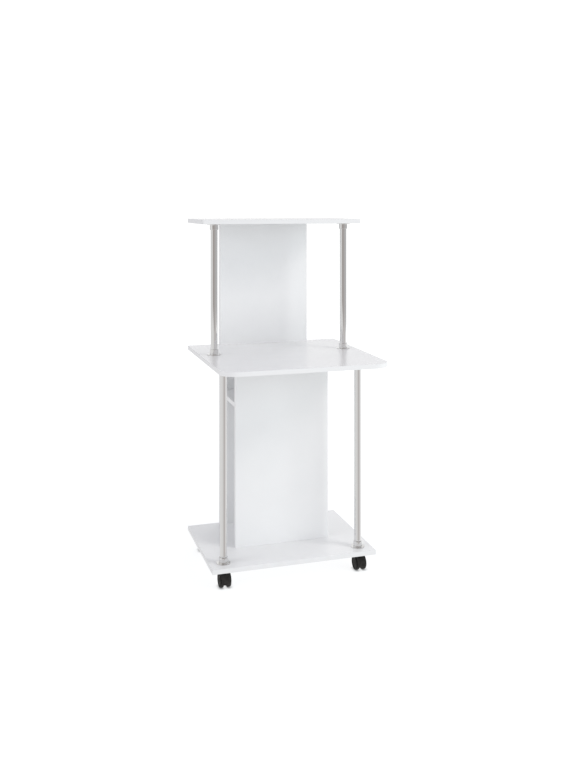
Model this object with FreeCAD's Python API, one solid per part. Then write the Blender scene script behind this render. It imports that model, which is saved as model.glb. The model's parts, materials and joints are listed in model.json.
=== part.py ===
import FreeCAD, Part
import math
import os
from FreeCAD import Vector

# A computer stand on castors. Three white boards (base, worktop and top shelf) share one flush back
# edge. Three upright panels and four chrome tubes hold them apart. The computer case stands on the
# base, in the bay between the front panel and the lower back panel, under a small middle shelf.
#
# Millimetres. +Z is up, +X is to the right as the user sits at the stand, and -Y is the user's side.
# The origin is on the floor, at the centre of the stand's outline seen from above.

# Driving dimensions: boards
WIDTH = 600.0
OVERALL_HEIGHT = 1265.0
WORKTOP_HEIGHT = 774.0
WORKTOP_DEPTH = 590.0
BASE_DEPTH = 440.0
TOP_SHELF_DEPTH = 290.0
BOARD = 16.0                    # thickness of every board and panel
BAND = 1.0                      # thickness of the edge bands
BAND_ROUNDING = 0.8             # radius of the bands' outer edges
WORKTOP_CORNER = 60.0           # radius of the worktop's two front corners
PANEL_WIDTH = 356.0
BACK_PANEL_INSET = 5.0          # from the boards' back edge to the back panels
BAY_DEPTH = 233.0               # clear depth between the front panel and the lower back panel
BAY_HEIGHT = 507.0              # clear height under the middle shelf

# Driving dimensions: tubes and their end flanges
TUBE_RADIUS = 12.5
TUBE_WALL = 1.2
TUBE_SIDE_INSET = 50.0          # from the boards' side edges to the tube axes
LOWER_TUBE_INSET = 52.0         # from the base's front edge
UPPER_TUBE_INSET = 50.0         # from the top shelf's front edge
FLANGE_RADIUS = 25.0
FLANGE_THICKNESS = 2.5
COLLAR_RADIUS = 15.6
COLLAR_HEIGHT = 21.0
FLANGE_SCREW_CIRCLE = 20.3      # radius of the circle of flange screws
FLANGE_SCREW_ANGLES = (90, 210, 330)

# Driving dimensions: castors
CASTOR_HEIGHT = 60.0
CASTOR_INSET = 50.0             # from the base's edges to the swivel axes
CASTOR_TRAIL = 12.0             # from the swivel axis to the wheel axle
CASTOR_WIDTH = 40.0
WHEEL_RADIUS = 25.0
WHEEL_WIDTH = 13.5
HOOD_RADIUS = 28.7
HOOD_WIDTH = 31.0
WEB_WIDTH = 11.0                # the housing's middle wall, between the wheels
PLATE_SIZE = 42.0
PLATE_THICKNESS = 2.0
PLATE_HOLE_SPACING = 30.0

# Clearances
LOOSE = 0.05                    # radial play of turning parts
SNUG = 0.02                     # radial play of fixed parts
OVERRUN = 1.0                   # how far a cutter runs past the surface that it opens

X = Vector(1, 0, 0)
Y = Vector(0, 1, 0)
Z = Vector(0, 0, 1)
ORIGIN = Vector(0, 0, 0)
QUARTER_TURN = 90
FULL_TURN = 360

# Heights and places that follow from the driving dimensions
BACK_EDGE = WORKTOP_DEPTH / 2
BASE_TOP = CASTOR_HEIGHT + BOARD
WORKTOP_UNDERSIDE = WORKTOP_HEIGHT - BOARD
TOP_SHELF_UNDERSIDE = OVERALL_HEIGHT - BOARD
MIDDLE_SHELF_UNDERSIDE = BASE_TOP + BAY_HEIGHT
BACK_PANEL_FRONT = BACK_EDGE - BACK_PANEL_INSET - BOARD
FRONT_PANEL_BACK = BACK_PANEL_FRONT - BAY_DEPTH
BACK_PANEL_MIDDLE = BACK_PANEL_FRONT + BOARD / 2
FRONT_PANEL_MIDDLE = FRONT_PANEL_BACK - BOARD / 2
MIDDLE_SHELF_MIDDLE = MIDDLE_SHELF_UNDERSIDE + BOARD / 2
TUBE_X = WIDTH / 2 - TUBE_SIDE_INSET
LOWER_TUBE_Y = BACK_EDGE - BASE_DEPTH + LOWER_TUBE_INSET
UPPER_TUBE_Y = BACK_EDGE - TOP_SHELF_DEPTH + UPPER_TUBE_INSET
SIDES = (("left", -1), ("right", 1))

nodes = {}                      # node name to list of solids
holes = {}                      # node name to list of solids to cut from it


def add(node, *solids):
    """Put solids into a node."""
    nodes.setdefault(node, []).extend(solids)


def drill(node, *solids):
    """Remember solids to cut from a node once everything is placed."""
    holes.setdefault(node, []).extend(solids)


def block(x_range, y_range, z_range):
    """A box between two limits on each axis."""
    size = [high - low for low, high in (x_range, y_range, z_range)]
    return Part.makeBox(*size, Vector(x_range[0], y_range[0], z_range[0]))


def rod(radius, start, direction, length):
    """A cylinder from a point along a direction."""
    return Part.makeCylinder(radius, length, start, direction)


def outline(corners):
    """A flat face from corners (u, v, rounding radius), in the XY plane."""
    rounded = []
    for index, (u, v, radius) in enumerate(corners):
        corner = Vector(u, v, 0)
        previous = corners[index - 1]
        following = corners[(index + 1) % len(corners)]
        to_previous = (Vector(previous[0], previous[1], 0) - corner).normalize()
        to_following = (Vector(following[0], following[1], 0) - corner).normalize()
        half_angle = to_previous.getAngle(to_following) / 2
        reach = radius / math.tan(half_angle)
        sag = radius / math.sin(half_angle) - radius
        middle = corner
        if radius:
            middle = corner + (to_previous + to_following).normalize() * sag
        rounded.append((corner + to_previous * reach, middle, corner + to_following * reach, radius))
    edges = []
    for index, (start, middle, end, radius) in enumerate(rounded):
        if radius:
            edges.append(Part.Arc(start, middle, end).toShape())
        edges.append(Part.makeLine(end, rounded[(index + 1) % len(rounded)][0]))
    return Part.Face(Part.Wire(edges))


def turned(corners, base=ORIGIN, axis=Z):
    """A turned solid from corners (radius, height along the axis, rounding radius)."""
    face = outline(corners)
    face.rotate(ORIGIN, X, QUARTER_TURN)
    solid = face.revolve(ORIGIN, Z, FULL_TURN)
    solid.Placement = FreeCAD.Placement(base, FreeCAD.Rotation(Z, axis))
    return solid


def plain(*points):
    """Corners with no rounding."""
    return [(u, v, 0) for u, v in points]


# ---------------------------------------------------------------- boards and panels

def band(x_range, y_range, z_range, outward):
    """A straight edge band whose two long outer edges are rounded."""
    strip = block(x_range, y_range, z_range)
    outer_face = max(strip.Faces, key=lambda face: face.CenterOfMass.dot(outward))
    long_edges = sorted(outer_face.Edges, key=lambda edge: edge.Length)[-2:]
    return strip.makeFillet(BAND_ROUNDING, long_edges)


def side_bands(node, half_width, y_range, z_range):
    """The bands on a board's or panel's left and right edges."""
    for _, side in SIDES:
        x_range = sorted((side * half_width, side * (half_width - BAND)))
        add(node, band(x_range, y_range, z_range, X * side))


def square_board(name, depth, top):
    """A board with square corners and a band on each of its four edges."""
    heights = (top - BOARD, top)
    half = WIDTH / 2
    front = BACK_EDGE - depth
    between = (front + BAND, BACK_EDGE - BAND)
    bands = f"{name}_edge_bands"
    add(f"{name}_board", block((BAND - half, half - BAND), between, heights))
    add(bands, band((-half, half), (front, between[0]), heights, Y * -1))
    add(bands, band((-half, half), (between[1], BACK_EDGE), heights, Y))
    side_bands(bands, half, between, heights)


def worktop():
    """The worktop: round front corners, so one band runs round the front and both sides."""
    def rounded_slab(shrink, back):
        half = WIDTH / 2 - shrink
        front = BACK_EDGE - WORKTOP_DEPTH + shrink
        radius = WORKTOP_CORNER - shrink
        face = outline([(-half, back, 0), (-half, front, radius), (half, front, radius), (half, back, 0)])
        face.translate(Z * WORKTOP_UNDERSIDE)
        return face.extrude(Z * BOARD)

    core_back = BACK_EDGE - BAND
    core = rounded_slab(BAND, core_back)
    add("worktop_board", core)
    slab = rounded_slab(0, core_back)
    flat_edges = [edge for edge in slab.Edges if edge.BoundBox.ZLength < BAND / 2]
    rim = [edge for edge in flat_edges if edge.BoundBox.YMin < core_back - BAND]
    heights = (WORKTOP_UNDERSIDE, WORKTOP_HEIGHT)
    back_band = band((-WIDTH / 2, WIDTH / 2), (core_back, BACK_EDGE), heights, Y)
    add("worktop_edge_bands", slab.makeFillet(BAND_ROUNDING, rim).cut(core), back_band)


def panel(name, x_half, y_range, z_range):
    """A panel whose two side edges show, and so carry bands."""
    add(name, block((BAND - x_half, x_half - BAND), y_range, z_range))
    side_bands(f"{name}_edge_bands", x_half, y_range, z_range)


def panels():
    """The three uprights, and the middle shelf between the lower two."""
    half = PANEL_WIDTH / 2
    front_panel = (FRONT_PANEL_BACK - BOARD, FRONT_PANEL_BACK)
    back_panel = (BACK_PANEL_FRONT, BACK_PANEL_FRONT + BOARD)
    bay = (FRONT_PANEL_BACK, BACK_PANEL_FRONT)
    lower = (BASE_TOP, WORKTOP_UNDERSIDE)
    panel("front_panel", half, front_panel, lower)
    panel("lower_back_panel", half, back_panel, lower)
    panel("upper_back_panel", half, back_panel, (WORKTOP_HEIGHT, TOP_SHELF_UNDERSIDE))
    panel("middle_shelf", half, bay, (MIDDLE_SHELF_UNDERSIDE, MIDDLE_SHELF_UNDERSIDE + BOARD))


# ---------------------------------------------------------------- cam fittings and dowels

CAM_RADIUS = 7.5
CAM_DEPTH = 12.5
CAM_SETBACK = 24.0              # from the panel's end to the cam's axis
CAM_RIM = 1.0                   # left in front of the cam's jaws
DRIVER_WIDTH = 1.6              # the cross that a screwdriver turns the cam by
DRIVER_LENGTH = 9.0
DRIVER_DEPTH = 2.5
BOLT_THREAD = 11.0              # how deep the bolts and dowels sit in the board's face
BOLT_THREAD_RADIUS = 2.5
BOLT_SHANK_RADIUS = 3.4
BOLT_NECK = 19.0                # where the bolt narrows for the cam's jaws
BOLT_NECK_RADIUS = 1.8
BOLT_HEAD = 23.0
BOLT_HEAD_RADIUS = 3.2
BOLT_TIP = 27.0
BOLT_ROOM_RADIUS = 4.0          # the bolt's hole in the panel
DOWEL_RADIUS = 4.0
DOWEL_CHAMFER = 1.0
DOWEL_IN_PANEL = 19.0
DOWEL_GLUE_ROOM = 1.0           # past the dowel's end


def cam_fitting(panel_node, board_node, point, into_board, to_face):
    """A cam lock in a panel, drawn onto a bolt in the board that the panel's end meets.

    point is in the joint, at the middle of the panel's thickness. to_face points at the panel's
    hidden face, which the cam is let into.
    """
    into_panel = into_board * -1
    corners = plain((0, -BOLT_THREAD), (BOLT_THREAD_RADIUS, -BOLT_THREAD), (BOLT_THREAD_RADIUS, 0),
                    (BOLT_SHANK_RADIUS, 0), (BOLT_SHANK_RADIUS, BOLT_NECK),
                    (BOLT_NECK_RADIUS, BOLT_NECK), (BOLT_NECK_RADIUS, BOLT_HEAD),
                    (BOLT_HEAD_RADIUS, BOLT_HEAD), (BOLT_HEAD_RADIUS, BOLT_TIP), (0, BOLT_TIP))
    add("cam_bolts", turned(corners, point, into_panel))

    mouth = point + into_panel * CAM_SETBACK + to_face * (BOARD / 2)
    inward = to_face * -1
    cam = rod(CAM_RADIUS, mouth, inward, CAM_DEPTH)
    drill(panel_node, rod(CAM_RADIUS + LOOSE, mouth, inward, CAM_DEPTH + LOOSE))

    # The jaws let the bolt's head in and hold its neck.
    jaw_start = point + into_panel * (CAM_SETBACK - CAM_RADIUS - CAM_RIM)
    jaws = rod(BOLT_NECK_RADIUS + LOOSE, jaw_start, into_panel, CAM_RADIUS)
    head_room = rod(BOLT_HEAD_RADIUS + LOOSE, point + into_panel * (BOLT_HEAD - LOOSE), into_panel,
                    BOLT_TIP - BOLT_HEAD + 2 * LOOSE)
    shank_room = rod(BOLT_SHANK_RADIUS + LOOSE, point, into_panel, BOLT_NECK + LOOSE)
    driver_cross = cross_cutter(mouth, inward, into_board, DRIVER_LENGTH, DRIVER_WIDTH, DRIVER_DEPTH)
    add("cam_locks", cam.cut([driver_cross, jaws, head_room, shank_room]))

    drill(board_node, rod(BOLT_THREAD_RADIUS + SNUG, point, into_board, BOLT_THREAD + SNUG))
    drill(panel_node, rod(BOLT_ROOM_RADIUS, point, into_panel, CAM_SETBACK))


def cross_cutter(middle, inward, along, length, width, depth):
    """The cutter for a cross recess: two crossed slots, one of them along a given direction."""
    across = inward.cross(along)
    arms = []
    for long_way, short_way in ((along, across), (across, along)):
        corner = middle - long_way * (length / 2) - short_way * (width / 2)
        end, side = long_way * length, short_way * width
        floor = Part.makePolygon([corner, corner + end, corner + end + side, corner + side, corner])
        arms.append(Part.Face(floor).extrude(inward * depth))
    return arms[0].fuse(arms[1])


def dowel(panel_node, board_node, point, into_board):
    """A wooden dowel across the same kind of joint."""
    into_panel = into_board * -1
    length = BOLT_THREAD + DOWEL_IN_PANEL
    corners = plain((0, 0), (DOWEL_RADIUS - DOWEL_CHAMFER, 0), (DOWEL_RADIUS, DOWEL_CHAMFER),
                    (DOWEL_RADIUS, length - DOWEL_CHAMFER), (DOWEL_RADIUS - DOWEL_CHAMFER, length),
                    (0, length))
    add("dowels", turned(corners, point + into_board * BOLT_THREAD, into_panel))
    drill(board_node, rod(DOWEL_RADIUS + SNUG, point, into_board, BOLT_THREAD + SNUG))
    drill(panel_node, rod(DOWEL_RADIUS + SNUG, point, into_panel, DOWEL_IN_PANEL + DOWEL_GLUE_ROOM))


def panel_joint(panel_node, board_node, centre, into_board, to_face, cam_x, dowel_x):
    """Two cam fittings and two dowels, mirrored about the stand's middle."""
    for _, side in SIDES:
        cam_fitting(panel_node, board_node, centre + X * (side * cam_x), into_board, to_face)
        dowel(panel_node, board_node, centre + X * (side * dowel_x), into_board)


def joinery():
    """Every board to panel joint. The joints above and below the worktop are staggered."""
    lower_cam_x, lower_dowel_x = 140.0, 100.0
    upper_cam_x, upper_dowel_x = 120.0, 60.0
    down = Z * -1
    for name, y in (("front_panel", FRONT_PANEL_MIDDLE), ("lower_back_panel", BACK_PANEL_MIDDLE)):
        base_joint = Vector(0, y, BASE_TOP)
        worktop_joint = Vector(0, y, WORKTOP_UNDERSIDE)
        panel_joint(name, "base_board", base_joint, down, Y, lower_cam_x, lower_dowel_x)
        panel_joint(name, "worktop_board", worktop_joint, Z, Y, lower_cam_x, lower_dowel_x)
    upper_foot = Vector(0, BACK_PANEL_MIDDLE, WORKTOP_HEIGHT)
    upper_head = Vector(0, BACK_PANEL_MIDDLE, TOP_SHELF_UNDERSIDE)
    panel_joint("upper_back_panel", "worktop_board", upper_foot, down, Y, upper_cam_x, upper_dowel_x)
    panel_joint("upper_back_panel", "top_shelf_board", upper_head, Z, Y, upper_cam_x, upper_dowel_x)
    shelf_front = Vector(0, FRONT_PANEL_BACK, MIDDLE_SHELF_MIDDLE)
    shelf_back = Vector(0, BACK_PANEL_FRONT, MIDDLE_SHELF_MIDDLE)
    panel_joint("middle_shelf", "front_panel", shelf_front, Y * -1, down, lower_cam_x, lower_dowel_x)
    panel_joint("middle_shelf", "lower_back_panel", shelf_back, Y, down, lower_cam_x, lower_dowel_x)


# ---------------------------------------------------------------- tubes and flanges

SCREW_HEAD_RADIUS = 3.3         # the flange screws
SCREW_HEAD_HEIGHT = 1.9
SCREW_SHANK_RADIUS = 1.75
SCREW_LENGTH = 13.0
SCREW_POINT = 3.0
RECESS_LENGTH = 3.8             # the cross recess in every screw's head
RECESS_WIDTH = 0.9
RECESS_DEPTH = 1.3
GRUB_RADIUS = 2.0
GRUB_SINK = 0.3                 # how far the grub screw ends below the collar's surface
GRUB_SOCKET_RADIUS = 1.1
GRUB_SOCKET_DEPTH = 1.6
GRUB_LEVEL = 0.6 * COLLAR_HEIGHT
FLANGE_LIP = 1.0                # how far the flange's floor reaches inside the tube's wall
FLANGE_ROUNDING = 1.2
COLLAR_FOOT_ROUNDING = 1.5
COLLAR_TOP_ROUNDING = 1.0
TUBE_END_PLAY = 0.1


def cross_recess(point, inward):
    """The cutter for a screw head's cross recess, for a screw along Z."""
    return cross_cutter(point, inward, Y, RECESS_LENGTH, RECESS_WIDTH, RECESS_DEPTH)


def countersunk_screw(point, inward):
    """A flange screw; point is the middle of its flush head."""
    corners = plain((0, 0), (SCREW_HEAD_RADIUS, 0), (SCREW_SHANK_RADIUS, SCREW_HEAD_HEIGHT),
                    (SCREW_SHANK_RADIUS, SCREW_LENGTH - SCREW_POINT), (0, SCREW_LENGTH))
    return turned(corners, point, inward).cut(cross_recess(point, inward))


def screw_clearance(point, inward):
    """The countersunk hole that the flange screw sits in."""
    head_radius = SCREW_HEAD_RADIUS + LOOSE
    shank_radius = SCREW_SHANK_RADIUS + LOOSE
    head_height = SCREW_HEAD_HEIGHT + SNUG
    length = SCREW_LENGTH + OVERRUN
    corners = plain((0, 0), (head_radius, 0), (shank_radius, head_height),
                    (shank_radius, length), (0, length))
    return turned(corners, point, inward)


def flange(node, board_node, foot, away):
    """A flange screwed to a board's face at foot, holding a tube end that runs away from it."""
    lip_radius = TUBE_RADIUS - TUBE_WALL - FLANGE_LIP
    bore_radius = TUBE_RADIUS + SNUG
    body = turned([(lip_radius, 0, 0), (FLANGE_RADIUS, 0, 0),
                   (FLANGE_RADIUS, FLANGE_THICKNESS, FLANGE_ROUNDING),
                   (COLLAR_RADIUS, FLANGE_THICKNESS, COLLAR_FOOT_ROUNDING),
                   (COLLAR_RADIUS, COLLAR_HEIGHT, COLLAR_TOP_ROUNDING),
                   (bore_radius, COLLAR_HEIGHT, 0), (bore_radius, FLANGE_THICKNESS, 0),
                   (lip_radius, FLANGE_THICKNESS, 0)], foot, away)
    inward = away * -1
    cutters = []
    for angle in FLANGE_SCREW_ANGLES:
        turn = math.radians(angle)
        spoke = Vector(math.cos(turn), math.sin(turn), 0) * FLANGE_SCREW_CIRCLE
        head = foot + away * FLANGE_THICKNESS + spoke
        add("flange_screws", countersunk_screw(head, inward))
        clearance = screw_clearance(head, inward)
        cutters.append(clearance)
        drill(board_node, clearance)

    # The grub screw bears on the tube from the back.
    grub_end = COLLAR_RADIUS - GRUB_SINK
    level = foot + away * GRUB_LEVEL
    grub = rod(GRUB_RADIUS, level + Y * bore_radius, Y, grub_end - bore_radius)
    socket = rod(GRUB_SOCKET_RADIUS, level + Y * grub_end, Y * -1, GRUB_SOCKET_DEPTH)
    add("flange_grub_screws", grub.cut(socket))
    cutters.append(rod(GRUB_RADIUS + SNUG, level, Y, COLLAR_RADIUS + OVERRUN))
    add(node, body.cut(cutters))


def tube(name, board_below, board_above, foot, height):
    """A chrome tube between two boards, with a flange at each end."""
    start = foot + Z * (FLANGE_THICKNESS + TUBE_END_PLAY)
    length = height - 2 * (FLANGE_THICKNESS + TUBE_END_PLAY)
    wall = rod(TUBE_RADIUS, start, Z, length)
    add(f"{name}_tube", wall.cut(rod(TUBE_RADIUS - TUBE_WALL, start, Z, length)))
    flange(f"{name}_tube_bottom_flange", board_below, foot, Z)
    flange(f"{name}_tube_top_flange", board_above, foot + Z * height, Z * -1)


def tubes():
    """Two tubes under the worktop's front, and two between the worktop and the top shelf."""
    for side_name, side in SIDES:
        lower_foot = Vector(side * TUBE_X, LOWER_TUBE_Y, BASE_TOP)
        upper_foot = Vector(side * TUBE_X, UPPER_TUBE_Y, WORKTOP_HEIGHT)
        tube(f"lower_{side_name}", "base_board", "worktop_board", lower_foot,
             WORKTOP_UNDERSIDE - BASE_TOP)
        tube(f"upper_{side_name}", "worktop_board", "top_shelf_board", upper_foot,
             TOP_SHELF_UNDERSIDE - WORKTOP_HEIGHT)


# ---------------------------------------------------------------- castors

PLATE_UNDERSIDE = CASTOR_HEIGHT - PLATE_THICKNESS
PLATE_ROUNDING = 5.0
PLATE_HOLE_RADIUS = 2.3
KINGPIN_RADIUS = 3.5
KINGPIN_FOOT = 30.0
KINGPIN_CHAMFER = 1.0
KINGPIN_HEAD_RADIUS = 5.5
GROOVE_HEIGHT = 34.0            # where the grip ring holds the kingpin in the housing
GROOVE_RADIUS = 2.9
RING_RADIUS = 4.3
RING_THICKNESS = 1.0
RING_SPLIT = 1.6
RING_PLAY = 0.3                 # around the ring, in the housing
AXLE_RADIUS = 3.0
AXLE_END_INSET = 2.2            # from the wheels' outer faces
AXLE = Vector(0, -CASTOR_TRAIL, WHEEL_RADIUS)
HOOD_EDGE = 2.2                 # rounding of the hood's side edges
HOOD_FRONT_LIP = 21.0           # degrees below the axle's level
HOOD_BACK_LIP = 20.0            # degrees above the axle's level
WHEEL_ROOM = 1.2                # between the wheels' treads and the hood
NECK_RADIUS = 12.0              # the housing's round top, under the plate
NECK_FOOT = 38.0
NECK_EDGE = 0.8
RUN_GAP = 0.4                   # between the neck and the plate
BOSS_RADIUS = 7.0
HUB_RADIUS = 7.0
HUB_GAP = 0.1                   # between the wheels' hubs and the middle wall
PLATE_SCREW_GRIP = 14.0
PLATE_SCREW_POINT = 3.0
PLATE_SCREW_RADIUS = 2.0
PLATE_SCREW_HEAD_RADIUS = 3.8
PLATE_SCREW_HEAD_HEIGHT = 2.2
PLATE_SCREW_HEAD_ROUNDING = 1.2


def castor_plate():
    """The square top plate, screwed under the base."""
    half = PLATE_SIZE / 2
    face = outline([(x, y, PLATE_ROUNDING) for x, y in
                    ((-half, -half), (half, -half), (half, half), (-half, half))])
    face.translate(Z * PLATE_UNDERSIDE)
    cutters = [rod(PLATE_HOLE_RADIUS, spot, Z, CASTOR_HEIGHT) for spot in plate_screw_spots()]
    cutters.append(turned(kingpin_head(SNUG)))
    return face.extrude(Z * PLATE_THICKNESS).cut(cutters)


def plate_screw_spots():
    """The four plate holes, as seen from above, on the floor."""
    reach = PLATE_HOLE_SPACING / 2
    return [Vector(x, y, 0) for x in (-reach, reach) for y in (-reach, reach)]


def kingpin_head(play):
    """The kingpin's part inside the plate: a cone that ends flush with the plate's top."""
    return plain((0, PLATE_UNDERSIDE), (KINGPIN_RADIUS + play, PLATE_UNDERSIDE),
                 (KINGPIN_HEAD_RADIUS + play, CASTOR_HEIGHT), (0, CASTOR_HEIGHT))


def kingpin():
    """The steel pin that the housing swivels on."""
    groove_top = GROOVE_HEIGHT + RING_THICKNESS + 2 * LOOSE
    shank = turned(plain((0, KINGPIN_FOOT), (KINGPIN_RADIUS - KINGPIN_CHAMFER, KINGPIN_FOOT),
                         (KINGPIN_RADIUS, KINGPIN_FOOT + KINGPIN_CHAMFER),
                         (KINGPIN_RADIUS, GROOVE_HEIGHT),
                         (GROOVE_RADIUS, GROOVE_HEIGHT), (GROOVE_RADIUS, groove_top),
                         (KINGPIN_RADIUS, groove_top), (KINGPIN_RADIUS, PLATE_UNDERSIDE),
                         (0, PLATE_UNDERSIDE)))
    return shank.fuse(turned(kingpin_head(0))).removeSplitter()


def grip_ring():
    """The split ring in the kingpin's groove."""
    bottom = GROOVE_HEIGHT + LOOSE
    top = bottom + RING_THICKNESS
    ring = rod(RING_RADIUS, Z * bottom, Z, RING_THICKNESS)
    split = block((-RING_SPLIT / 2, RING_SPLIT / 2), (0, RING_RADIUS + OVERRUN), (bottom, top))
    return ring.cut([rod(GROOVE_RADIUS + SNUG, Z * bottom, Z, RING_THICKNESS), split])


def hood_opening():
    """The wedge that leaves the wheels bare below, from the hood's front lip to its back lip."""
    reach = 2 * HOOD_RADIUS
    start = FULL_TURN / 2 + HOOD_FRONT_LIP
    end = FULL_TURN + HOOD_BACK_LIP
    steps = 3
    fan = [(AXLE.y, AXLE.z)]
    for step in range(steps + 1):
        turn = math.radians(start + (end - start) * step / steps)
        fan.append((AXLE.y + reach * math.cos(turn), AXLE.z + reach * math.sin(turn)))
    face = outline(plain(*fan))

    # A third of a turn about the diagonal takes X to Y and Y to Z.
    face.rotate(ORIGIN, Vector(1, 1, 1), FULL_TURN / 3)
    face.translate(X * -HOOD_WIDTH)
    return face.extrude(X * 2 * HOOD_WIDTH)


def castor_housing():
    """The moulded hood over both wheels, with the middle wall that holds the axle and the kingpin."""
    half = HOOD_WIDTH / 2
    hood = turned([(0, -half, 0), (HOOD_RADIUS, -half, HOOD_EDGE), (HOOD_RADIUS, half, HOOD_EDGE),
                   (0, half, 0)], AXLE, X)
    neck_top = PLATE_UNDERSIDE - RUN_GAP
    neck = turned([(0, NECK_FOOT, 0), (NECK_RADIUS, NECK_FOOT, 0), (NECK_RADIUS, neck_top, NECK_EDGE),
                   (0, neck_top, 0)])
    boss = rod(BOSS_RADIUS, AXLE - X * (WEB_WIDTH / 2), X, WEB_WIDTH)
    body = hood.cut(hood_opening()).fuse([neck, boss])
    room_radius = WHEEL_RADIUS + WHEEL_ROOM
    for _, side in SIDES:
        body = body.cut(rod(room_radius, AXLE + X * (side * WEB_WIDTH / 2), X * side, CASTOR_WIDTH))
    pin_room = rod(KINGPIN_RADIUS + LOOSE, Z * (KINGPIN_FOOT - OVERRUN), Z, CASTOR_HEIGHT)
    ring_room = rod(RING_RADIUS + RING_PLAY, Z * (GROOVE_HEIGHT - RING_PLAY), Z,
                    RING_THICKNESS + 2 * (RING_PLAY + LOOSE))
    axle_room = rod(AXLE_RADIUS + SNUG, AXLE - X * WEB_WIDTH, X, 2 * WEB_WIDTH)
    return body.cut([pin_room, ring_room, axle_room]).removeSplitter()


def castor_wheel(side):
    """One moulded wheel: a rim, a recessed disc and a blind hub that runs on the axle."""
    inner = CASTOR_WIDTH / 2 - WHEEL_WIDTH
    hub_start = WEB_WIDTH / 2 + HUB_GAP - inner
    bore = AXLE_RADIUS + LOOSE
    bore_end = CASTOR_WIDTH / 2 - AXLE_END_INSET + 3 * HUB_GAP - inner
    rim_inner, lip_radius, lip_slope, cap_radius, cap_slope = 21.5, 20.5, 1.0, 8.5, 1.0
    disc_back, disc_front, cap_front = 9.5, 11.8, 12.9
    tread_outer, tread_inner, crease, edge = 3.5, 1.0, 0.8, 0.5
    corners = [(bore, hub_start, 0), (HUB_RADIUS, hub_start, 0), (HUB_RADIUS, disc_back, crease),
               (rim_inner, disc_back, crease), (rim_inner, 0, edge), (WHEEL_RADIUS, 0, tread_inner),
               (WHEEL_RADIUS, WHEEL_WIDTH, tread_outer), (lip_radius, WHEEL_WIDTH, edge),
               (lip_radius - lip_slope, disc_front, edge), (cap_radius, disc_front, edge),
               (cap_radius - cap_slope, cap_front, edge), (0, cap_front, 0), (0, bore_end, 0),
               (bore, bore_end, 0)]
    return turned(corners, AXLE + X * (side * inner), X * side)


def plate_screw(spot):
    """A pan-head screw up through the plate into the base."""
    point = Vector(spot.x, spot.y, PLATE_UNDERSIDE)
    screw = turned([(0, -PLATE_SCREW_HEAD_HEIGHT, 0),
                    (PLATE_SCREW_HEAD_RADIUS, -PLATE_SCREW_HEAD_HEIGHT, PLATE_SCREW_HEAD_ROUNDING),
                    (PLATE_SCREW_HEAD_RADIUS, 0, 0), (PLATE_SCREW_RADIUS, 0, 0),
                    (PLATE_SCREW_RADIUS, PLATE_SCREW_GRIP - PLATE_SCREW_POINT, 0),
                    (0, PLATE_SCREW_GRIP, 0)], point)
    return screw.cut(cross_recess(point - Z * PLATE_SCREW_HEAD_HEIGHT, Z))


def castors():
    """Four castors, each turned so that its wheels trail towards the user's side."""
    axle_half = CASTOR_WIDTH / 2 - AXLE_END_INSET
    front_y = BACK_EDGE - BASE_DEPTH + CASTOR_INSET
    back_y = BACK_EDGE - CASTOR_INSET
    plate, pin, ring, housing = castor_plate(), kingpin(), grip_ring(), castor_housing()
    axle = rod(AXLE_RADIUS, AXLE - X * axle_half, X, 2 * axle_half)
    screws = [plate_screw(spot) for spot in plate_screw_spots()]
    pilot_radius = PLATE_SCREW_RADIUS + SNUG
    pilot_depth = PLATE_SCREW_GRIP - OVERRUN
    for row, y in (("front", front_y), ("back", back_y)):
        for column, side in SIDES:
            place = Vector(side * (WIDTH / 2 - CASTOR_INSET), y, 0)
            name = f"{row}_{column}_castor"
            add(f"{name}_plate", plate.translated(place))
            add(f"{name}_kingpin", pin.translated(place))
            add(f"{name}_housing", housing.translated(place))
            add(f"{name}_axle", axle.translated(place))
            for wheel_name, wheel_side in SIDES:
                add(f"{name}_{wheel_name}_wheel", castor_wheel(wheel_side).translated(place))
            add("castor_grip_rings", ring.translated(place))
            add("castor_plate_screws", *[screw.translated(place) for screw in screws])
            for spot in plate_screw_spots():
                drill("base_board", rod(pilot_radius, place + spot + Z * CASTOR_HEIGHT, Z, pilot_depth))


# ---------------------------------------------------------------- assembly

def write_parts():
    """Cut the drilled nodes and write one STEP file per node."""
    os.makedirs("parts", exist_ok=True)
    for name, solids in nodes.items():
        if name in holes:
            solids = [solid.cut(holes[name]) for solid in solids]
        shape = solids[0] if len(solids) == 1 else Part.makeCompound(solids)
        shape.exportStep(f"parts/{name}.step")


square_board("base", BASE_DEPTH, BASE_TOP)
square_board("top_shelf", TOP_SHELF_DEPTH, OVERALL_HEIGHT)
worktop()
panels()
joinery()
tubes()
castors()
write_parts()
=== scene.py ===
import json
import math

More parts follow.
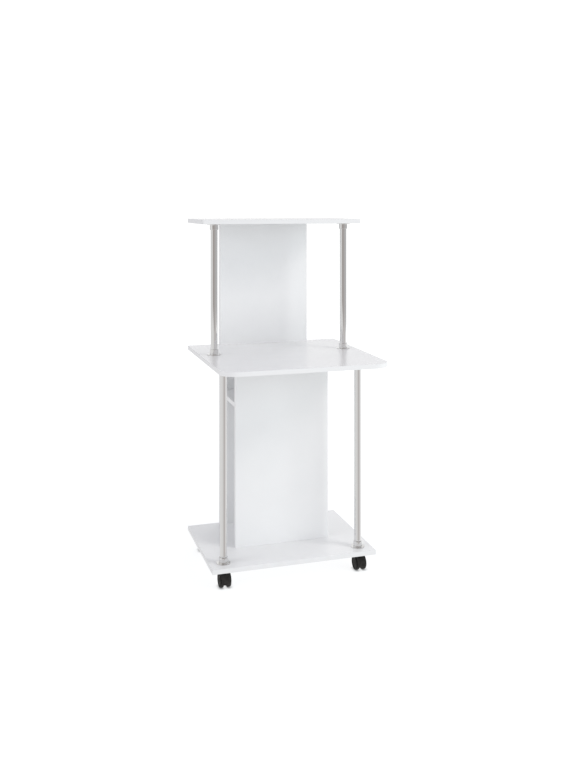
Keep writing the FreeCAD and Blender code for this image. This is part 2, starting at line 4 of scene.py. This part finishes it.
import bmesh
import bpy
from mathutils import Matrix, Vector


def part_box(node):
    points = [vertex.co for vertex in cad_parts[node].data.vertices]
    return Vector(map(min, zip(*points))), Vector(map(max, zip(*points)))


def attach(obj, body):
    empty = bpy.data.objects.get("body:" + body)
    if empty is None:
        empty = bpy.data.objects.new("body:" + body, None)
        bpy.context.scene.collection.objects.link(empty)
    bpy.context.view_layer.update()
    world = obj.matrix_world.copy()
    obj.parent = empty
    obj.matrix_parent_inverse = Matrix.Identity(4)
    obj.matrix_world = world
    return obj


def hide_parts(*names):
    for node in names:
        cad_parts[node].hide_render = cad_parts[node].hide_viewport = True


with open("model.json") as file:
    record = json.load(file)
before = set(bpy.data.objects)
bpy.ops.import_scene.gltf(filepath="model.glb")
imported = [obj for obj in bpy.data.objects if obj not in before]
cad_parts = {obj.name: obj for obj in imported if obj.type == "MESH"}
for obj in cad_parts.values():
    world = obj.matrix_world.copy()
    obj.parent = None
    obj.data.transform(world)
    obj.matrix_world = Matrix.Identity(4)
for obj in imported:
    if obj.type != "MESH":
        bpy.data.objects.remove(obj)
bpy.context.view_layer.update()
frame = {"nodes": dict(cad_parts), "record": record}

# A white computer stand with chrome tubes and black castors, photographed in a white studio.
# Metres, in the CAD frame: +Z up, -Y towards the viewer, origin on the floor. The CAD pieces keep their
# shapes and get detailed materials; only the four tubes are made again, as finer meshes.

nodes = frame["nodes"]


# ---------------------------------------------------------------- node helpers

def new_material(name):
    """A material with its node tree and its Principled shader."""
    material = bpy.data.materials.new(name)
    material.use_nodes = True
    tree = material.node_tree
    return material, tree, tree.nodes["Principled BSDF"]


def add_node(tree, kind, inputs=None, **settings):
    """A node whose inputs are given as values or as sockets to link."""
    node = tree.nodes.new(kind)
    for key, value in settings.items():
        setattr(node, key, value)
    set_inputs(tree, node, inputs or {})
    return node


def set_inputs(tree, node, inputs):
    """Set or link a node's inputs by name or index."""
    for key, value in inputs.items():
        if isinstance(value, bpy.types.NodeSocket):
            tree.links.new(value, node.inputs[key])
        else:
            node.inputs[key].default_value = value


def object_point(tree, stretch=(1, 1, 1)):
    """The shaded point in the row frame, in metres, optionally stretched per axis."""
    place = add_node(tree, "ShaderNodeTexCoord").outputs["Object"]
    scaled = add_node(tree, "ShaderNodeVectorMath", {0: place, 1: stretch}, operation="MULTIPLY")
    return scaled.outputs["Vector"]


def noise(tree, point, size, detail=2.0, roughness=0.5):
    """Noise from 0 to 1 whose features are about size metres across."""
    inputs = {"Vector": point, "Scale": 1 / size, "Detail": detail, "Roughness": roughness}
    return add_node(tree, "ShaderNodeTexNoise", inputs).outputs["Fac"]


def remap(tree, value, start, end, low=0.0, high=1.0):
    """Carry a value from the range start..end to the range low..high, and clamp it there."""
    inputs = {"Value": value, "From Min": start, "From Max": end, "To Min": low, "To Max": high}
    return add_node(tree, "ShaderNodeMapRange", inputs).outputs["Result"]


def math_node(tree, operation, first, second=0.0):
    """One arithmetic step."""
    inputs = {0: first, 1: second}
    return add_node(tree, "ShaderNodeMath", inputs, operation=operation).outputs["Value"]


def mix_colour(tree, factor, first, second):
    """Blend two colours."""
    node = add_node(tree, "ShaderNodeMix", data_type="RGBA")
    colours = [socket for socket in node.inputs if socket.type == "RGBA"]
    for socket, value in zip(colours, (first, second)):
        if isinstance(value, bpy.types.NodeSocket):
            tree.links.new(value, socket)
        else:
            socket.default_value = (*value, 1)
    tree.links.new(factor, node.inputs["Factor"])
    return next(socket for socket in node.outputs if socket.type == "RGBA")


def bump(tree, height, depth):
    """A normal roughened by a height map from 0 to 1, depth metres deep."""
    inputs = {"Height": height, "Distance": depth, "Strength": 1.0}
    return add_node(tree, "ShaderNodeBump", inputs).outputs["Normal"]


def facing(tree, axis):
    """How far the surface faces along one axis, 0 to 1, either way."""
    normal = add_node(tree, "ShaderNodeNewGeometry").outputs["True Normal"]
    parts = add_node(tree, "ShaderNodeSeparateXYZ", {"Vector": normal})
    return math_node(tree, "ABSOLUTE", parts.outputs[axis])


# ---------------------------------------------------------------- materials

def laminate(name, face_axis):
    """White melamine on the faces along face_axis, and bare chipboard where it is cut or drilled."""
    material, tree, shader = new_material(name)
    point = object_point(tree)
    cloud = noise(tree, point, size=0.18, detail=3)
    white = mix_colour(tree, remap(tree, cloud, 0.35, 0.65), (0.812, 0.816, 0.822), (0.832, 0.835, 0.84))
    pearl = noise(tree, point, size=0.0011, detail=3)
    smear = noise(tree, point, size=0.05, detail=4, roughness=0.6)

    chips_per_metre = 700.0
    chips = add_node(tree, "ShaderNodeTexVoronoi", {"Vector": point, "Scale": chips_per_metre})
    chip_tone = noise(tree, point, size=0.0012, detail=4, roughness=0.7)
    chipboard = mix_colour(tree, chip_tone, (0.33, 0.22, 0.12), (0.62, 0.48, 0.31))
    cut = remap(tree, facing(tree, face_axis), 0.4, 0.6, low=1.0, high=0.0)
    colour = mix_colour(tree, cut, white, chipboard)

    rougher_when_cut = 0.6
    pearl_share = 0.004             # of the chips' relief
    gloss = remap(tree, smear, 0.3, 0.7, low=0.2, high=0.225)
    roughness = math_node(tree, "ADD", gloss, math_node(tree, "MULTIPLY", cut, rougher_when_cut))
    chip_relief = math_node(tree, "MULTIPLY", chips.outputs["Distance"], cut)
    relief = math_node(tree, "ADD", math_node(tree, "MULTIPLY", pearl, pearl_share), chip_relief)
    set_inputs(tree, shader, {"Base Color": colour, "Roughness": roughness, "IOR": 1.5,
                              "Normal": bump(tree, relief, depth=0.0003)})
    return material


def edging():
    """Satin white plastic edge band, with faint lines along its length."""
    material, tree, shader = new_material("white_edging")
    lines = noise(tree, object_point(tree, stretch=(0.02, 0.02, 1)), size=0.0008)
    tone = noise(tree, object_point(tree), size=0.09, detail=3)
    colour = mix_colour(tree, remap(tree, tone, 0.3, 0.7), (0.772, 0.774, 0.78), (0.79, 0.792, 0.796))
    roughness = remap(tree, tone, 0.3, 0.7, low=0.28, high=0.36)
    set_inputs(tree, shader, {"Base Color": colour, "Roughness": roughness,
                              "Normal": bump(tree, lines, depth=0.000004)})
    return material


def chrome():
    """Polished chrome with fine scratches and a few dull smears."""
    material, tree, shader = new_material("polished_chrome")
    point = object_point(tree)
    scratches = noise(tree, object_point(tree, stretch=(1, 1, 0.05)), size=0.0006, detail=3, roughness=0.7)
    smears = noise(tree, point, size=0.03, detail=5, roughness=0.65)
    colour = mix_colour(tree, smears, (0.735, 0.73, 0.725), (0.765, 0.762, 0.76))
    set_inputs(tree, shader, {"Base Color": colour, "Metallic": 1.0,
                              "Roughness": remap(tree, smears, 0.45, 0.75, low=0.04, high=0.1),
                              "Normal": bump(tree, scratches, depth=0.000004)})
    return material


def steel(name, dark, light, roughness, grain=0.0008, depth=0.00002):
    """Plated or bare steel: tone, grain and a little tarnish."""
    material, tree, shader = new_material(name)
    point = object_point(tree)
    tarnish = noise(tree, point, size=0.006, detail=4, roughness=0.6)
    fine = noise(tree, point, size=grain, detail=3)
    dulled = roughness + 0.12
    set_inputs(tree, shader, {"Base Color": mix_colour(tree, tarnish, dark, light), "Metallic": 1.0,
                              "Roughness": remap(tree, tarnish, 0.3, 0.7, low=roughness, high=dulled),
                              "Normal": bump(tree, fine, depth)})
    return material


def beech():
    """Turned beech with grain along the dowel."""
    material, tree, shader = new_material("beech")
    grain = noise(tree, object_point(tree, stretch=(1, 1, 0.06)), size=0.0015, detail=4, roughness=0.6)
    set_inputs(tree, shader, {"Base Color": mix_colour(tree, grain, (0.52, 0.35, 0.2), (0.76, 0.58, 0.38)),
                              "Roughness": 0.6, "Normal": bump(tree, grain, depth=0.0001)})
    return material


def black_nylon(name, roughness, dust, shine):
    """Black moulded nylon: fine spark-eroded skin, greyer where it has been rubbed or dusty."""
    material, tree, shader = new_material(name)
    point = object_point(tree)
    skin = noise(tree, point, size=0.0004, detail=3, roughness=0.6)
    handling = noise(tree, point, size=0.012, detail=4, roughness=0.6)
    rubbed = remap(tree, handling, 0.45, 0.8, high=dust)
    colour = mix_colour(tree, rubbed, (0.010, 0.0095, 0.009), (0.045, 0.042, 0.039))
    dulled = roughness + 0.12
    set_inputs(tree, shader, {"Base Color": colour, "IOR": 1.45, "Specular IOR Level": shine,
                              "Roughness": remap(tree, handling, 0.3, 0.7, low=roughness, high=dulled),
                              "Normal": bump(tree, skin, depth=0.00003)})
    return material


def dress_nodes():
    """Give every CAD node its material."""
    flat_board = laminate("laminate_flat", "Z")
    upright = laminate("laminate_upright", "Y")
    by_slot = {
        "white_edging": edging(),
        "polished_chrome": chrome(),
        "nickel_screws": steel("nickel_screws", (0.55, 0.53, 0.5), (0.72, 0.70, 0.66), roughness=0.2),
        "zinc_screws": steel("zinc_screws", (0.5, 0.51, 0.54), (0.68, 0.69, 0.7), roughness=0.28),
        "cast_zinc": steel("cast_zinc", (0.36, 0.37, 0.39), (0.52, 0.53, 0.55), roughness=0.4,
                           grain=0.0006, depth=0.00006),
        "zinc_plate": steel("zinc_plate", (0.5, 0.5, 0.53), (0.64, 0.64, 0.66), roughness=0.3),
        "bare_steel": steel("bare_steel", (0.38, 0.38, 0.39), (0.55, 0.55, 0.56), roughness=0.25),
        "beech": beech(),
        "black_hood": black_nylon("black_hood", roughness=0.32, dust=0.5, shine=0.4),
        "black_wheel": black_nylon("black_wheel", roughness=0.48, dust=0.6, shine=0.18),
    }
    slots = {part["node"]: part["material_slot"] for part in frame["record"]["subparts"]}
    for name, piece in nodes.items():
        slot = slots[name]
        if slot == "white_laminate":
            material = upright if name.endswith("panel") else flat_board
        else:
            material = by_slot[slot]
        piece.data.materials.clear()
        piece.data.materials.append(material)
    return by_slot


# ---------------------------------------------------------------- tubes

TUBE_WALL = 0.0012
TUBE_END_ROUNDING = 0.0003
TUBE_ROWS = 24                  # of faces along a tube
TUBE_SIDES = 128
SHARPEST_SMOOTHED = 50          # degrees between faces that still shade as one


def mesh_piece(name, mesh_builder, material, body, node):
    """A new piece made by mesh code, standing for one CAD node."""
    mesh = bpy.data.meshes.new(name)
    builder = bmesh.new()
    mesh_builder(builder)
    bmesh.ops.recalc_face_normals(builder, faces=builder.faces)
    builder.to_mesh(mesh)
    builder.free()
    piece = bpy.data.objects.new(name, mesh)
    bpy.context.scene.collection.objects.link(piece)
    mesh.materials.append(material)
    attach(piece, body)
    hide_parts(node)
    return piece


def smooth_by_angle(mesh, degrees):
    """Shade smooth, apart from edges sharper than the angle."""
    mesh.polygons.foreach_set("use_smooth", [True] * len(mesh.polygons))
    limit = math.radians(degrees)
    builder = bmesh.new()
    builder.from_mesh(mesh)
    for edge in builder.edges:
        edge.smooth = len(edge.link_faces) == 2 and edge.calc_face_angle() < limit
    builder.to_mesh(mesh)
    builder.free()


def lathe(builder, centre, profile, segments):
    """Turn a closed profile of (radius, height) points about a vertical axis."""
    rings = []
    for step in range(segments):
        turn = 2 * math.pi * step / segments
        spoke = Vector((math.cos(turn), math.sin(turn), 0))
        rings.append([builder.verts.new(centre + spoke * radius + Vector((0, 0, height)))
                      for radius, height in profile])
    for step in range(segments):
        here, there = rings[step], rings[(step + 1) % segments]
        for index in range(len(profile)):
            following = (index + 1) % len(profile)
            builder.faces.new((here[index], there[index], there[following], here[following]))


def tube_piece(node, material):
    """A drawn tube with many sides, softened ends and its own wall."""
    low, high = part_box(node)
    centre = Vector(((low.x + high.x) / 2, (low.y + high.y) / 2, low.z))
    radius = (high.x - low.x) / 2
    height = high.z - low.z
    inner = radius - TUBE_WALL
    soft = TUBE_END_ROUNDING
    outer = [(radius, soft + (height - 2 * soft) * row / TUBE_ROWS) for row in range(TUBE_ROWS + 1)]
    profile = ([(inner + soft, 0), (radius - soft, 0)] + outer +
               [(radius - soft, height), (inner + soft, height), (inner, height - soft), (inner, soft)])
    piece = mesh_piece(f"{node}_drawn", lambda builder: lathe(builder, centre, profile, TUBE_SIDES),
                       material, "stand", node)
    smooth_by_angle(piece.data, SHARPEST_SMOOTHED)


# ---------------------------------------------------------------- studio

AMBIENT = (0.607, 0.607, 0.643)     # even light from all around, which reflections don't see
CAMERA_WHITE = (1.1, 1.1, 1.1)      # the background, just past white

# What polished parts see around them, as stops of azimuth and colour. The azimuth is in degrees from the
# viewer's side (-Y) and grows to the viewer's right. The room is darkest behind the viewer, and pale on the
# left and at the back, apart from a narrow grey gap.
WHITE = (0.97, 0.97, 0.97)
GAP_WALL = (0.52, 0.52, 0.53)
GAP_FLOOR = (0.66, 0.65, 0.64)
LEFT_DARK = (0.44, 0.41, 0.395)
ROOM = (
    (-180, WHITE), (-176, WHITE), (-168, GAP_WALL), (-156, GAP_WALL),
    (-146, (0.78, 0.78, 0.78)), (-115, (0.80, 0.80, 0.80)), (-105, (0.89, 0.89, 0.89)),
    (-66, (0.89, 0.89, 0.89)), (-54, LEFT_DARK), (-20, LEFT_DARK),
    (20, (0.53, 0.515, 0.51)), (90, (0.59, 0.59, 0.60)), (118, (0.65, 0.65, 0.665)),
    (132, WHITE), (180, WHITE),
)
# What polished parts see of the floor, as stops of azimuth and colour: painted light and shade, darkest in
# front and a little to the viewer's right.
LIT_FLOOR = (
    (-180, WHITE), (-176, WHITE), (-168, GAP_FLOOR), (-156, GAP_FLOOR),
    (-146, (0.90, 0.90, 0.90)), (-100, (0.88, 0.88, 0.88)), (-30, (0.82, 0.82, 0.81)),
    (0, (0.62, 0.59, 0.58)), (34, (0.60, 0.57, 0.56)), (46, (0.68, 0.66, 0.65)),
    (64, (1.0, 1.0, 1.0)), (180, WHITE),
)


def panorama(tree, azimuth, stops):
    """Colours around the horizon, blended between stops (azimuth in degrees, colour)."""
    ramp = add_node(tree, "ShaderNodeValToRGB", {"Fac": remap(tree, azimuth, -math.pi, math.pi)})
    elements = ramp.color_ramp.elements
    first, *between, last = [(degrees / 360 + 0.5, (*colour, 1)) for degrees, colour in stops]
    elements[0].position, elements[0].color = first
    elements[1].position, elements[1].color = last
    for position, colour in between:
        elements.new(position).color = colour
    return ramp.outputs["Color"]


def ray_azimuth(tree, away):
    """The azimuth that a ray goes to, from the viewer's side and growing to the viewer's right."""
    parts = add_node(tree, "ShaderNodeSeparateXYZ", {"Vector": away})
    nearer = math_node(tree, "MULTIPLY", parts.outputs["Y"], -1.0)
    return math_node(tree, "ARCTAN2", parts.outputs["X"], nearer)


def bright_floor(tree, shader, grain):
    """What the camera sees: a glowing floor, with painted shade dimming it near the stand and painted
    contact shadows only where wheels touch.
    """
    near, far = 0.6, 1.5
    dim, bright = 0.88, 1.05
    shadow_reach = 0.012
    from_middle = add_node(tree, "ShaderNodeVectorMath", {0: object_point(tree)}, operation="LENGTH")
    # Painted shade: the floor's glow is dimmer near the stand.
    glow = remap(tree, from_middle.outputs["Value"], near, far, low=dim, high=bright)
    # Painted contact shadows: ambient occlusion darkens the glow where the wheels touch the floor.
    painted_contact_shadow = add_node(tree, "ShaderNodeAmbientOcclusion", {"Distance": shadow_reach}, samples=8)
    set_inputs(tree, shader, {"Base Color": mix_colour(tree, grain, (0.16, 0.17, 0.18), (0.17, 0.18, 0.19)),
                              "Roughness": 0.9, "Specular IOR Level": 0.0, "Emission Color": (1, 1, 1, 1),
                              "Emission Strength": math_node(tree, "MULTIPLY", glow, painted_contact_shadow.outputs["AO"])})
    return shader.outputs["BSDF"]


def paper_floor(tree, grain):
    """What lights the stand from below: evenly lit paper."""
    paper = mix_colour(tree, grain, (0.785, 0.785, 0.785), (0.815, 0.815, 0.815))
    return add_node(tree, "ShaderNodeEmission", {"Color": paper}).outputs["Emission"]


def mirrored_floor(tree):
    """What polished parts see of the floor: a painted reflection of its light and shade."""
    incoming = add_node(tree, "ShaderNodeNewGeometry").outputs["Incoming"]
    away = add_node(tree, "ShaderNodeVectorMath", {0: incoming, "Scale": -1.0}, operation="SCALE")
    seen_in_chrome = panorama(tree, ray_azimuth(tree, away.outputs["Vector"]), LIT_FLOOR)
    return add_node(tree, "ShaderNodeEmission", {"Color": seen_in_chrome}).outputs["Emission"]


def floor():
    """A wide pale floor, which the camera, the light and the polished parts each see in their own way."""
    reach = 6.0
    corners = [(-reach, -reach, 0), (reach, -reach, 0), (reach, reach, 0), (-reach, reach, 0)]
    mesh = bpy.data.meshes.new("floor")
    mesh.from_pydata(corners, [], [(0, 1, 2, 3)])
    piece = bpy.data.objects.new("floor", mesh)
    bpy.context.scene.collection.objects.link(piece)

    material, tree, shader = new_material("pale_floor")
    grain = noise(tree, object_point(tree), size=0.004)
    path = add_node(tree, "ShaderNodeLightPath")
    indirect = add_node(tree, "ShaderNodeMixShader", {0: path.outputs["Is Glossy Ray"],
                                                      1: paper_floor(tree, grain), 2: mirrored_floor(tree)})
    surface = add_node(tree, "ShaderNodeMixShader", {0: path.outputs["Is Camera Ray"],
                                                     1: indirect.outputs["Shader"],
                                                     2: bright_floor(tree, shader, grain)})
    tree.links.new(surface.outputs["Shader"], tree.nodes["Material Output"].inputs["Surface"])
    # The glow is nearly even, so rays that happen to reach the floor find it with less noise.
    material.cycles.emission_sampling = "NONE"
    mesh.materials.append(material)


def studio_world():
    """White for the camera, soft light for the rest; chrome sees a darker room beyond the viewer."""
    world = bpy.data.worlds.new("studio")
    bpy.context.scene.world = world
    world.use_nodes = True
    # The light from here is nearly even, so rays that leave the scene find it with less noise.
    world.cycles.sampling_method = "NONE"
    tree = world.node_tree
    path = add_node(tree, "ShaderNodeLightPath")
    direction = add_node(tree, "ShaderNodeTexCoord").outputs["Generated"]
    seen_in_chrome = panorama(tree, ray_azimuth(tree, direction), ROOM)
    lit = mix_colour(tree, path.outputs["Is Glossy Ray"], AMBIENT, seen_in_chrome)
    colour = mix_colour(tree, path.outputs["Is Camera Ray"], lit, CAMERA_WHITE)
    set_inputs(tree, tree.nodes["Background"], {"Color": colour, "Strength": 1.0})


def studio_camera():
    """A level camera with a lowered lens, so that uprights stay parallel."""
    view_turn = math.radians(17.405)
    forward = Vector((math.sin(view_turn), math.cos(view_turn), 0))
    right = Vector((forward.y, -forward.x, 0))
    distance = 3.251
    sidestep = 0.0168
    eye_height = 1.3234
    data = bpy.data.cameras.new("camera")
    data.sensor_width = 36.0
    data.lens = 41.161
    data.clip_end = 50.0
    camera = bpy.data.objects.new("camera", data)
    bpy.context.scene.collection.objects.link(camera)
    camera.location = right * sidestep - forward * distance + Vector((0, 0, eye_height))
    camera.rotation_euler = forward.to_track_quat("-Z", "Y").to_euler()
    bpy.context.scene.camera = camera

    # The lens is shifted only while the camera stands here; from anywhere else it looks straight on.
    viewpoint = bpy.data.objects.new("viewpoint", None)
    bpy.context.scene.collection.objects.link(viewpoint)
    viewpoint.location = camera.location
    curve = data.driver_add("shift_y")
    curve.driver.type = "AVERAGE"
    distance_away = curve.driver.variables.new()
    distance_away.type = "LOC_DIFF"
    distance_away.targets[0].id = camera
    distance_away.targets[1].id = viewpoint
    for modifier in list(curve.modifiers):
        curve.modifiers.remove(modifier)
    lowered, tolerance = -0.2384, 0.05
    for away, shift in ((0.0, lowered), (tolerance, 0.0)):
        key = curve.keyframe_points.insert(away, shift)
        key.interpolation = "LINEAR"
    curve.extrapolation = "CONSTANT"


def studio_lights():
    """Soft square lights around the stand, all aimed at its middle."""
    target = Vector((0, 0, 0.6))
    # Name, azimuth from the viewer's side in degrees, distance and height, size, power in watts, colour.
    lights = (
        ("key", 50, 4.1, 3.7, 1.6, 63.0, (1.0, 0.94, 0.89)),
        ("side", 50, 4.9, 1.5, 2.4, 63.5, (0.87, 1.0, 1.0)),
        ("left", -80, 4.7, 2.3, 2.4, 57.0, (1.0, 1.0, 1.0)),
        ("low", -8, 2.4, 0.35, 0.5, 6.3, (1.0, 1.0, 1.0)),
        ("back", 150, 4.6, 1.6, 2.4, 54.5, (1.0, 1.0, 0.97)),
    )
    for name, azimuth, away, height, size, power, colour in lights:
        turn = math.radians(azimuth)
        data = bpy.data.lights.new(name, "AREA")
        data.shape = "SQUARE"
        data.size = size
        data.energy = power
        data.color = colour
        light = bpy.data.objects.new(name, data)
        bpy.context.scene.collection.objects.link(light)
        light.location = (math.sin(turn) * away, -math.cos(turn) * away, height)
        light.rotation_euler = (target - light.location).to_track_quat("-Z", "Y").to_euler()
        light.visible_camera = False
        light.visible_glossy = False


finishes = dress_nodes()
for node_name in sorted(nodes):
    if node_name.endswith("_tube"):
        tube_piece(node_name, finishes["polished_chrome"])
floor()
studio_world()
studio_lights()
studio_camera()
view_settings = bpy.context.scene.view_settings
view_settings.view_transform = "Standard"
